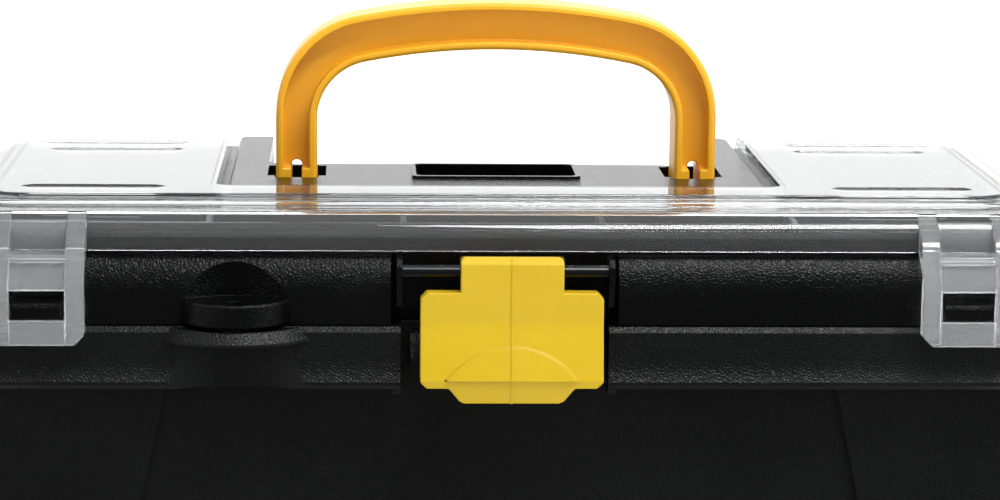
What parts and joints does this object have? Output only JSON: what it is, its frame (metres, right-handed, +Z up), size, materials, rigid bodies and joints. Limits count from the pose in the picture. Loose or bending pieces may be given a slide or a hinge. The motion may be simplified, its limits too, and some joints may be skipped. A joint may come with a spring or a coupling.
{
  "type": "hard tool case",
  "caption": "Hard plastic tool case with a lift-out tray, a latched lid, a bin organiser under a clear snap cover and a fold-down handle.",
  "frame": {"origin": "middle of the resting face under the tub", "axes": "+X along the case to the right as seen from the latch, -Y the latch side, +Z up"},
  "size_m": [0.378, 0.1962, 0.2154],
  "materials": {
    "case_black": "black moulded polypropylene with a fine leather grain",
    "tray_black": "smooth black moulded polypropylene",
    "clear_plastic": "clear slightly milky moulded plastic",
    "latch_yellow": "lemon yellow moulded plastic, satin gloss",
    "handle_yellow": "golden yellow moulded plastic, satin gloss",
    "steel": "plain steel wire",
    "dark_steel": "darkened steel wire"
  },
  "bodies": {
    "base": {"base_tub": "case_black", "tote_tray": "tray_black", "lid_hinge_pin_left": "steel", "lid_hinge_pin_right": "steel"},
    "lid": {"main_lid": "case_black", "latch_rod": "dark_steel", "cover_hinge_pin_left": "steel", "cover_hinge_pin_right": "steel", "bin_divider_left_front": "tray_black", "bin_divider_left_rear": "tray_black", "bin_divider_right_front": "tray_black", "bin_divider_right_rear": "tray_black"},
    "cover": {"clear_cover": "clear_plastic"},
    "latch": {"front_latch": "latch_yellow"},
    "handle": {"carry_handle": "handle_yellow"}
  },
  "joints": [
    {"name": "lid_hinge", "type": "hinge", "parent": "base", "child": "lid", "pos_m": [0, 0.0936, 0.1176], "axis": [-1, 0, 0], "range_deg": [0, 105]},
    {"name": "cover_hinge", "type": "hinge", "parent": "lid", "child": "cover", "pos_m": [0, 0.0884, 0.1412], "axis": [-1, 0, 0], "range_deg": [0, 100]},
    {"name": "latch_hinge", "type": "hinge", "parent": "lid", "child": "latch", "pos_m": [0, -0.0875, 0.1376], "axis": [-1, 0, 0], "range_deg": [0, 70]},
    {"name": "handle_fold", "type": "hinge", "parent": "lid", "child": "handle", "pos_m": [0, -0.006, 0.147], "axis": [-1, 0, 0], "range_deg": [0, 90]}
  ]
}
